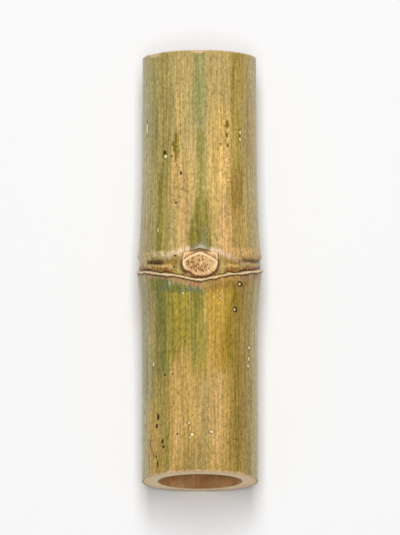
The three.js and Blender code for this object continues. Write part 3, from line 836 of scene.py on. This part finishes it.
def outer_rows():
    """Rows of the skin from the base to the top: each gives its columns and its place along them."""
    lip = lip_line(NODE_COLUMNS)
    ridge = ridge_line(NODE_COLUMNS)
    plain = np.zeros(len(NODE_COLUMNS))

    def between(low, high, shares):
        return [(NODE_COLUMNS, low + (high - low) * share) for share in shares]

    def straight(places):
        return [(BODY_COLUMNS, np.full(len(BODY_COLUMNS), s)) for s in places]

    rows = straight([-HALF + step for step in END_STEPS])
    rows += straight(np.linspace(-144, -42, 50))
    rows += between(plain - 40, lip - 22, np.linspace(0, 1, 10))
    rows += [(NODE_COLUMNS, lip + t) for t in np.linspace(-21, -4, 20)]
    rows += [(NODE_COLUMNS, lip + t) for t in np.linspace(-3.4, -2.4, 3)]
    rows += [(NODE_COLUMNS, lip + t) for t in np.linspace(-2.1, 2.3, 22)]
    rows += between(lip + 2.3, ridge, np.linspace(0.03, 1, 34))
    rows += between(ridge, ridge + 6, np.linspace(0.08, 1, 12))
    rows += between(ridge + 6, ridge + 20, np.linspace(0.1, 1, 10))
    rows += between(ridge + 20, plain + 38, np.linspace(0.25, 1, 4))
    rows += straight(np.linspace(40, 79, 20))
    rows += straight(np.linspace(79.7, 84.3, 8))
    rows += straight(np.linspace(86, 144, 30))
    rows += straight([HALF - step for step in END_STEPS[::-1]])
    return rows


def hollow_radius(phi, s, radius, share):
    """The wall of a hollow is a little uneven, and its mouth is a true edge."""
    uneven = 0.16 * wander(phi, 21, 3, 9) + 0.09 * wander(phi + 0.004 * s, 22, 14, 50)
    return radius + uneven * math.sqrt(math.sin(math.pi * min(1.1 * share, 1)))


def add_hollow(shell, end):
    """Rings of one hollow: the base one from the septum out, the top one from its mouth in."""
    radius = LUMEN_RADIUS[end]
    rows = []
    for angle in DISH_ANGLES:
        turn = math.radians(angle)
        along = SEPTUM_Y[end] + end * SEPTUM_DISH * (1 - math.cos(turn))
        rows.append((along, radius * math.sin(turn) ** DISH_SQUARENESS))
    start = SEPTUM_Y[end] + end * SEPTUM_DISH
    rows += [(start + (end * HALF - start) * share, radius) for share in np.linspace(0.05, 1, 20)]
    rings = []
    for s, r in rows if end < 0 else rows[::-1]:
        share = (s - SEPTUM_Y[end]) / (end * HALF - SEPTUM_Y[end])
        along = np.full(len(LUMEN_COLUMNS), s)
        rings.append(shell.add(LUMEN_COLUMNS, along, hollow_radius(LUMEN_COLUMNS, s, r, share)))
    return rings


def add_sawn_face(shell, end, rim_radius):
    """Rings of a sawn face between the mouth of the hollow and the rim."""
    phi = BODY_COLUMNS
    rings = []
    for share in END_SHARES if end < 0 else END_SHARES[::-1]:
        radius = LUMEN_RADIUS[end] + (rim_radius - LUMEN_RADIUS[end]) * share
        rough = 0.03 * np.sin(9 * phi + 5 * share) * math.sin(math.pi * share)
        rings.append(shell.add(phi, end * (HALF - 0.06) + rough, radius))
    return rings


def build_culm():
    shell = Shell()
    base_hollow = add_hollow(shell, -1)
    base_rim, _ = outer_surface(BODY_COLUMNS, np.full(len(BODY_COLUMNS), -HALF))
    base_face = add_sawn_face(shell, -1, base_rim)
    skin = []
    for phi, s in outer_rows():
        radius, masks = outer_surface(phi, s)
        skin.append(shell.add(phi, s, radius, masks, rind_tone(phi, s)))
    top_face = add_sawn_face(shell, 1, skin[-1].radius)
    top_hollow = add_hollow(shell, 1)

    dish_count = len(DISH_ANGLES)
    septum_uvs = {end: disc_uv(SEPTUM_CENTRES[end], SEPTUM_SCALE) for end in (-1, 1)}
    shell.strip(base_hollow[:dish_count], HOLLOW, septum_uvs[-1])
    shell.strip(base_hollow[dish_count - 1:], HOLLOW, wall_uv(-1))
    shell.strip([base_hollow[-1], *base_face, skin[0]], SAWN, disc_uv(END_CENTRES[-1], END_SCALE))
    shell.strip(skin, SKIN, skin_uv)
    shell.strip([skin[-1], *top_face, top_hollow[0]], SAWN, disc_uv(END_CENTRES[1], END_SCALE))
    shell.strip(top_hollow[:-dish_count + 1], HOLLOW, wall_uv(1))
    shell.strip(top_hollow[-dish_count:], HOLLOW, septum_uvs[1])
    shell.cap(base_hollow[0], HOLLOW, septum_uvs[-1](base_hollow[0]), SEPTUM_CENTRES[-1], False)
    shell.cap(top_hollow[-1], HOLLOW, septum_uvs[1](top_hollow[-1]), SEPTUM_CENTRES[1], True)
    return shell.mesh("culm_fine")


class Paint:
    """Short ways to add shader nodes to one material."""

    def __init__(self, name):
        self.material = bpy.data.materials.new(name)
        self.material.use_nodes = True
        self.tree = self.material.node_tree
        self.shader = self.tree.nodes["Principled BSDF"]

    def new(self, kind):
        return self.tree.nodes.new("ShaderNode" + kind)

    def put(self, socket, value):
        if isinstance(value, bpy.types.NodeSocket):
            self.tree.links.new(value, socket)
        else:
            socket.default_value = value

    def attribute(self, name, output="Fac"):
        node = self.new("Attribute")
        node.attribute_name = name
        return node.outputs[output]

    def maths(self, operation, a, b=0.0):
        node = self.new("Math")
        node.operation = operation
        self.put(node.inputs[0], a)
        self.put(node.inputs[1], b)
        return node.outputs[0]

    def times(self, a, b):
        return self.maths("MULTIPLY", a, b)

    def vector(self, operation, a, b, output="Vector"):
        node = self.new("VectorMath")
        node.operation = operation
        self.put(node.inputs[0], a)
        self.put(node.inputs[1], b)
        return node.outputs[output]

    def drawn_out(self, stem, rate):
        """Places on the culm with the length along it scaled by the rate."""
        return self.vector("MULTIPLY", stem, (1.0, rate, 1.0))

    def step(self, value, low, high, to_low=0.0, to_high=1.0):
        """An eased step of the value from low to high."""
        node = self.new("MapRange")
        node.interpolation_type = "SMOOTHSTEP"
        for socket, given in zip(node.inputs, (value, low, high, to_low, to_high)):
            self.put(socket, given)
        return node.outputs[0]

    def noise(self, vector, scale, detail=2.0, rough=0.5):
        node = self.new("TexNoise")
        self.put(node.inputs["Vector"], vector)
        node.inputs["Scale"].default_value = scale
        node.inputs["Detail"].default_value = detail
        node.inputs["Roughness"].default_value = rough
        return node.outputs[0]

    def cells(self, vector, scale):
        """Distance to the nearest of scattered points, and a random value of that point."""
        node = self.new("TexVoronoi")
        self.put(node.inputs["Vector"], vector)
        node.inputs["Scale"].default_value = scale
        split = self.new("SeparateColor")
        self.tree.links.new(node.outputs["Color"], split.inputs[0])
        return node.outputs["Distance"], split.outputs[0]

    def blend(self, share, below, above, mode="MIX"):
        node = self.new("Mix")
        node.data_type = "RGBA"
        node.blend_type = mode
        self.put(node.inputs[0], share)
        for socket, value in ((node.inputs[6], below), (node.inputs[7], above)):
            if isinstance(value, tuple):
                value = (*linear(value), 1.0)
            self.put(socket, value)
        return node.outputs[2]

    def bump(self, height, distance):
        node = self.new("Bump")
        node.inputs["Distance"].default_value = distance
        self.put(node.inputs["Height"], height)
        return node.outputs[0]

    def finish(self, colour, roughness, normal=None, specular=0.5):
        self.put(self.shader.inputs["Base Color"], colour)
        self.put(self.shader.inputs["Roughness"], roughness)
        self.shader.inputs["Specular IOR Level"].default_value = specular
        if normal is not None:
            self.put(self.shader.inputs["Normal"], normal)
        return self.material


# Marks on the rind: angle in degrees, place along, half width, half length. Three make a scratch
DARK_MARKS = (
    (31.5, 95, 0.6, 1.4),
    (28, 89, 0.7, 0.9),
    (29.5, 80.5, 0.6, 0.8),
    (21.5, 82, 0.7, 0.8),
    (22.5, 87.5, 0.6, 0.8),
    (25, 75, 0.5, 0.6),
    (25, 72, 0.5, 0.6),
    (25, 66, 0.6, 0.6),
    (21, 69, 0.5, 0.6),
    (26, 53, 0.5, 0.6),
    (-28, 74, 0.6, 0.7),
    (-18, 61, 0.7, 1.3),
    (-23, 40, 0.8, 0.8),
    (-36, 77, 0.9, 1.5),
    (33, 13, 0.6, 0.6),
    (60, 7, 0.9, 0.7),
    (-45, -110, 1.1, 2.1),
    (-47, -116, 1.1, 1.5),
    (-39, -127, 0.9, 1.4),
    (-38, -131, 0.9, 1.0),
    (-22, -123, 0.6, 0.7),
    (-36, -81, 0.6, 0.8),
    (-46, -142, 0.6, 2.4),
    (-48, -137, 0.6, 1.0),
    (19, -87, 0.5, 0.7),
    (19, -90, 0.6, 0.6),
    (3, -111, 0.6, 0.7),
    (18, -121, 0.6, 0.9),
    (-24, -6, 0.7, 0.7),
    (-27, -81, 0.5, 0.8),
    (41, -17, 2.1, 1.8),
    (36.7, -35, 1.9, 1.8),
    (-22.5, 1.8, 0.9, 0.6),
    *((-58 + 3 * step, -127 - 4.5 * step, 0.45, 2.6) for step in range(3)),
    (21, 9.4, 0.4, 0.9),
    (24, 7.6, 0.45, 0.9),
    (27, 5.8, 0.4, 1.0),
)
OLIVE_MARKS = (
    (29, 96.5, 1.3, 3.2),
    (28.5, 88.5, 1.0, 2.4),
    (29.5, 81.5, 1.1, 1.6),
    (43.5, 88, 0.9, 3.5),
    (-23.5, 86, 0.8, 4.5),
    (-26.5, 82.5, 1.0, 1.8),
    (-24.5, 79, 1.2, 2.8),
    (-23.3, 73, 0.7, 4.0),
    (-36, 75, 1.9, 2.6),
)
LIGHT_MARKS = (
    (-35, 74, 1.1, 1.2),
    (31, 96.5, 0.45, 1.2),
    (45, 92, 1.0, 1.6),
    (45, 87, 1.1, 1.4),
    (-15, -25, 0.9, 0.5),
    (20, -25, 0.8, 0.7),
    (20, -28, 0.7, 0.7),
    (-7, -124, 1.1, 1.2),
    (-9, -126, 0.7, 0.7),
    (-10, -116, 0.7, 0.7),
    (12, -122, 1.2, 0.9),
    (19, -114, 0.8, 0.8),
    (26, -118, 0.5, 1.0),
    (-52, -72, 0.8, 1.6),
    (41, -17, 1.05, 0.85),
    (36.7, -35, 0.95, 0.95),
    (58, -60, 1.4, 1.2),
    (57, -68, 1.1, 1.5),
    (56, -73, 1.3, 1.2),
    (-70, -109, 0.8, 3.5),
    (-65, 97, 1.1, 4.2),
    (-43, 22, 0.5, 1.6),
)

WOOD = (0.90, 0.74, 0.52)
WOOD_WORN = (0.75, 0.55, 0.32)
WOOD_PALE = (0.98, 0.85, 0.64)
WOOD_PORE = (0.40, 0.25, 0.08)
CREAM_AND_RIM_HIGHLIGHT = (0.89, 0.76, 0.60)
MARK_CREAM = (0.96, 0.90, 0.66)
LIP_CREAM_AND_HIGHLIGHT = (1.0, 0.88, 0.70)
PAINTED_SHADE_BROWN = (0.22, 0.12, 0.04)
SPOT_BROWN = (0.22, 0.15, 0.03)
STUB_WALL_AND_SHADE_BROWN = (0.56, 0.37, 0.24)
EAR_ORANGE = (0.84, 0.65, 0.42)
BUD_GREY = (0.48, 0.49, 0.32)
STREAK_OLIVE = (0.62, 0.57, 0.25)
LINE_OLIVE = (0.45, 0.37, 0.12)
LINE_PALE = (0.88, 0.78, 0.55)


def mark_share(paint, stem, marks, grown, edge):
    """1 inside the marks, each grown by a factor, falling to 0 past their edge."""
    nearest = None
    for angle, along, half_width, half_length in marks:
        turn = math.radians(angle)
        flatter = half_width / half_length
        centre = (BASE_RADIUS * math.sin(turn), along * flatter, BASE_RADIUS * math.cos(turn))
        seen = paint.drawn_out(stem, flatter)
        distance = paint.maths("DIVIDE", paint.vector("DISTANCE", seen, centre, "Value"), half_width)
        nearest = distance if nearest is None else paint.maths("MINIMUM", nearest, distance)
    return paint.step(nearest, grown - edge, grown + edge, 1.0, 0.0)


def rind_grain(paint, stem):
    """The rind's bands of colour with long streaks, grain and fine lines."""
    long_grain = paint.drawn_out(stem, 0.03)
    broad = paint.step(paint.noise(long_grain, 0.45, 3.0, 0.6), 0.5, 0.7, 0.0, 0.2)
    colour = paint.blend(broad, paint.attribute("tone", "Color"), STREAK_OLIVE)
    streak = paint.step(paint.noise(long_grain, 0.8, 4.0, 0.65), 0.3, 0.7, 0.75, 1.27)
    grain = paint.step(paint.noise(paint.drawn_out(stem, 0.55), 0.6, 5.0, 0.8), 0.3, 0.7, 0.64, 1.37)
    colour = paint.blend(1.0, colour, paint.times(streak, grain), "MULTIPLY")
    lines = paint.vector("ADD", long_grain, (7.0, 3.0, 5.0))
    dark_lines = paint.step(paint.noise(lines, 0.9, 3.0, 0.7), 0.58, 0.68, 0.0, 0.36)
    colour = paint.blend(dark_lines, colour, LINE_OLIVE)
    lines = paint.vector("ADD", lines, (9.0, 1.0, 4.0))
    pale_lines = paint.step(paint.noise(lines, 1.0, 3.0, 0.7), 0.58, 0.68, 0.0, 0.3)
    return paint.blend(pale_lines, colour, LINE_PALE)


def with_specks(paint, stem, colour):
    """Specks and grit, much in the speckled places and little elsewhere."""
    speckled = paint.attribute("speckled")
    near, chance = paint.cells(paint.drawn_out(stem, 0.6), 0.6)
    chosen = paint.maths("GREATER_THAN", chance, paint.step(speckled, 0.0, 1.0, 1.0, 0.3))
    specks = paint.times(paint.step(near, 0.14, 0.34, 1.0, 0.0), chosen)
    colour = paint.blend(paint.times(specks, 0.7), colour, SPOT_BROWN)
    grit = paint.step(paint.noise(paint.drawn_out(stem, 0.7), 1.1, 3.0, 0.7), 0.5, 0.66)
    grit = paint.times(grit, paint.step(speckled, 0.0, 1.0, 0.1, 0.5))
    return paint.blend(grit, colour, OLIVE_DEEP)


def with_scar_colours(paint, stem, colour):
    """Colours of the bud scale and the shoulders, and painted shade over the brown side wall under the cut
    face.
    """
    dusty = paint.step(paint.noise(stem, 0.5, 3.0, 0.6), 0.35, 0.65, 0.35, 1.0)
    colour = paint.blend(paint.times(paint.attribute("scale"), dusty), colour, BUD_GREY)
    colour = paint.blend(paint.attribute("ear"), colour, EAR_ORANGE)
    # Painted shade under the cut face, over the brown of the stub's side wall
    return paint.blend(paint.attribute("brown"), colour, STUB_WALL_AND_SHADE_BROWN)


def with_marks(paint, stem, colour):
    """The marks laid over the rind, and the share of the dark ones, which are pitted."""
    ragged = paint.vector("ADD", stem, paint.vector("MULTIPLY", paint.noise(stem, 0.9), (0.9, 0.9, 0.9)))
    dark = mark_share(paint, ragged, DARK_MARKS, 1.15, 0.25)
    layers = (
        (mark_share(paint, ragged, OLIVE_MARKS, 1.1, 0.3), 0.95, MOSS_BROWN),
        (dark, 0.95, SPOT_BROWN),
        (mark_share(paint, ragged, LIGHT_MARKS, 1.65, 0.3), 0.65, SPOT_BROWN),
        (mark_share(paint, ragged, LIGHT_MARKS, 1.1, 0.25), 0.95, MARK_CREAM),
    )
    for share, strength, tone in layers:
        colour = paint.blend(paint.times(share, strength), colour, tone)
    return colour, dark


def cut_wood(paint, stem):
    """Wood of the cut branch, and the share of its open pores."""
    core = paint.attribute("core")
    upright = paint.drawn_out(stem, 0.5)
    across = paint.vector("DOT_PRODUCT", stem, (1.0, 0.0, 0.0), "Value")
    leftward = paint.step(across, -1.0, 6.0, 1.0, 0.0)
    opened = paint.maths("ADD", paint.noise(upright, 1.2, 2.0, 0.55), paint.times(leftward, 0.05))
    pores = paint.times(paint.step(opened, 0.52, 0.62), core)
    worn = paint.step(paint.noise(stem, 0.28, 3.0), 0.38, 0.62, 0.2, 1.0)
    worn = paint.times(worn, paint.maths("ADD", paint.times(leftward, 0.7), 0.3))
    wood = paint.blend(paint.times(worn, core), WOOD, WOOD_WORN)
    wood = paint.blend(paint.times(pores, 0.85), wood, WOOD_PORE)
    flecks = paint.step(paint.noise(paint.vector("ADD", upright, (5.0, 2.0, 8.0)), 0.9, 2.0), 0.56, 0.66)
    return paint.blend(paint.times(flecks, 0.7), wood, WOOD_PALE), pores


def rind_material():
    paint = Paint("bamboo_rind")
    stem = paint.attribute("stem", "Vector")
    colour = with_specks(paint, stem, rind_grain(paint, stem))
    colour = with_scar_colours(paint, stem, colour)
    colour, dark_marks = with_marks(paint, stem, colour)

    # Cut and broken wood with a painted highlight along the sawn rims, then painted shade in the crevices,
    # the cream lip with painted highlights, and the wax
    cut = paint.attribute("cut")
    bare_and_rim_highlight = paint.attribute("bare_and_rim_highlight")
    cream_and_highlight = paint.attribute("cream_and_highlight")
    wood, pores = cut_wood(paint, stem)
    colour = paint.blend(cut, colour, wood)
    # Bare wood of the chips, and a painted highlight along the sawn rims
    colour = paint.blend(bare_and_rim_highlight, colour, CREAM_AND_RIM_HIGHLIGHT)
    # Painted shade in the crevices round the stub and along the lip
    colour = paint.blend(paint.times(paint.attribute("dark"), 0.94), colour, PAINTED_SHADE_BROWN)
    # The cream of the lip and its crumbs, and painted highlights on the stub's upper edges and the
    # shoulders' rims
    colour = paint.blend(cream_and_highlight, colour, LIP_CREAM_AND_HIGHLIGHT)
    colour = paint.blend(paint.attribute("frost"), colour, FROST)

    dull = paint.times(paint.maths("MAXIMUM", paint.maths("MAXIMUM", cut, bare_and_rim_highlight), cream_and_highlight), 0.8)
    satin = paint.step(paint.noise(stem, 0.12, 3.0), 0.3, 0.7, 0.42, 0.56)
    sunk = paint.times(paint.maths("MAXIMUM", dark_marks, paint.times(pores, cut)), 0.6)
    height = paint.maths("SUBTRACT", paint.noise(paint.drawn_out(stem, 0.16), 2.4, 3.0, 0.6), sunk)
    paint.shader.inputs["Sheen Weight"].default_value = 0.2
    paint.shader.inputs["Sheen Roughness"].default_value = 0.35
    return paint.finish(colour, paint.maths("MAXIMUM", satin, dull), paint.bump(height, 0.00008), 0.12)


SAWN_INNER = (0.98, 0.89, 0.75)
SAWN_OUTER = (0.97, 0.86, 0.68)
SAWN_CLOUD = (0.92, 0.78, 0.60)
SAWN_BUNDLE = (0.68, 0.53, 0.36)
SAWN_RIM = (0.50, 0.41, 0.20)
SAWN_MOUTH = (0.66, 0.48, 0.28)


def sawn_material():
    paint = Paint("sawn_bamboo")
    stem = paint.attribute("stem", "Vector")
    flat = paint.drawn_out(stem, 0.0)
    radius = paint.vector("LENGTH", flat, (0.0, 0.0, 0.0), "Value")
    mouth_radius = LUMEN_RADIUS[-1]

    # Bundles of fibres, larger and fewer near the hollow
    inner_near, _ = paint.cells(flat, 0.62)
    outer_near, _ = paint.cells(flat, 1.15)
    outward = paint.step(radius, 33.0, 39.0)
    inward = paint.maths("SUBTRACT", 1.0, outward)
    inner = paint.times(paint.step(inner_near, 0.2, 0.42, 1.0, 0.0), inward)
    outer = paint.times(paint.step(outer_near, 0.22, 0.5, 1.0, 0.0), outward)
    bundles = paint.maths("MAXIMUM", inner, outer)

    colour = paint.blend(paint.step(radius, mouth_radius, BASE_RADIUS), SAWN_INNER, SAWN_OUTER)
    cloud = paint.step(paint.noise(flat, 0.12, 3.0), 0.35, 0.65, 0.0, 0.4)
    colour = paint.blend(cloud, colour, SAWN_CLOUD)
    colour = paint.blend(paint.times(bundles, 0.55), colour, SAWN_BUNDLE)
    saw = paint.noise(paint.vector("MULTIPLY", stem, (0.08, 0.0, 1.0)), 1.6)
    colour = paint.blend(1.0, colour, paint.step(saw, 0.3, 0.7, 0.92, 1.05), "MULTIPLY")
    rim = paint.step(radius, BASE_RADIUS - 1.3, BASE_RADIUS - 0.4, 0.0, 0.7)
    colour = paint.blend(rim, colour, SAWN_RIM)
    mouth = paint.step(radius, mouth_radius + 0.2, mouth_radius + 1.0, 0.5, 0.0)
    colour = paint.blend(mouth, colour, SAWN_MOUTH)
    height = paint.maths("SUBTRACT", saw, paint.times(bundles, 0.5))
    return paint.finish(colour, 0.8, paint.bump(height, 0.00015), 0.3)


HOLLOW_BROWN = (0.84, 0.65, 0.43)
HOLLOW_DARK = (0.76, 0.55, 0.34)


def hollow_material():
    paint = Paint("bamboo_hollow")
    stem = paint.attribute("stem", "Vector")
    streak = paint.noise(paint.drawn_out(stem, 0.06), 0.8, 3.0, 0.6)
    patches = paint.step(paint.noise(stem, 0.07, 3.0), 0.35, 0.65)
    colour = paint.blend(patches, HOLLOW_BROWN, HOLLOW_DARK)
    colour = paint.blend(1.0, colour, paint.step(streak, 0.3, 0.7, 0.92, 1.06), "MULTIPLY")
    grit = paint.noise(paint.drawn_out(stem, 0.3), 0.8, 3.0, 0.6)
    colour = paint.blend(1.0, colour, paint.step(grit, 0.3, 0.7, 0.85, 1.12), "MULTIPLY")
    return paint.finish(colour, 0.85, paint.bump(grit, 0.0003), 0.25)


def dress_culm():
    culm = bpy.data.objects.new("culm_fine", build_culm())
    bpy.context.scene.collection.objects.link(culm)
    for make in (rind_material, sawn_material, hollow_material):
        culm.data.materials.append(make())
    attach(culm, "root")
    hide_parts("culm")


# The stage, in metres. The light is one long soft one overhead, a little towards the top end
FLOOR_REACH = 10.0
FLOOR_WHITE = (0.9, 0.905, 0.915, 1.0)
SKY_STRENGTH = 0.2
LIGHT_DISTANCE = 4.0
LIGHT_TILT = math.radians(6)
LIGHT_HALF_WIDTH = math.radians(8)
LIGHT_HALF_LENGTH = math.radians(26)
LIGHT_POWER = 156
CAMERA_ELEVATION = math.radians(79.5)
CAMERA_DISTANCE = 8.0
CAMERA_TARGET = Vector((0.0002, 0.0003, 0.0435))
CAMERA_ROLL = math.radians(-0.1)
CAMERA_LENS = 768.5


def build_floor():
    corners = [(x * FLOOR_REACH, y * FLOOR_REACH, 0) for x, y in ((-1, -1), (1, -1), (1, 1), (-1, 1))]
    mesh = bpy.data.meshes.new("floor")
    mesh.from_pydata(corners, [], [(0, 1, 2, 3)])
    floor = bpy.data.objects.new("floor", mesh)
    bpy.context.scene.collection.objects.link(floor)
    mesh.materials.append(Paint("white_floor").finish(FLOOR_WHITE, 1.0, specular=0.0))


def build_light():
    world = bpy.data.worlds.new("studio")
    world.use_nodes = True
    background = world.node_tree.nodes["Background"]
    background.inputs["Color"].default_value = (1.0, 1.0, 1.0, 1.0)
    background.inputs["Strength"].default_value = SKY_STRENGTH
    bpy.context.scene.world = world

    light = bpy.data.lights.new("key", "AREA")
    light.shape = "RECTANGLE"
    light.size = 2 * LIGHT_DISTANCE * math.tan(LIGHT_HALF_WIDTH)
    light.size_y = 2 * LIGHT_DISTANCE * math.tan(LIGHT_HALF_LENGTH)
    light.energy = LIGHT_POWER
    key = bpy.data.objects.new("key", light)
    key.location = (0, LIGHT_DISTANCE * math.sin(LIGHT_TILT), LIGHT_DISTANCE * math.cos(LIGHT_TILT))
    key.rotation_euler = (-key.location).to_track_quat("-Z", "Y").to_euler()
    bpy.context.scene.collection.objects.link(key)


def build_camera():
    towards = Vector((0, -math.cos(CAMERA_ELEVATION), math.sin(CAMERA_ELEVATION)))
    data = bpy.data.cameras.new("camera")
    data.sensor_width = 36
    data.lens = CAMERA_LENS
    data.clip_end = 100
    camera = bpy.data.objects.new("camera", data)
    stand = Matrix.Translation(CAMERA_TARGET + CAMERA_DISTANCE * towards)
    aim = (-towards).to_track_quat("-Z", "Y").to_matrix().to_4x4()
    camera.matrix_world = stand @ aim @ Matrix.Rotation(CAMERA_ROLL, 4, "Z")
    bpy.context.scene.collection.objects.link(camera)
    bpy.context.scene.camera = camera


dress_culm()
build_floor()
build_light()
build_camera()
bpy.context.scene.view_settings.view_transform = "Standard"
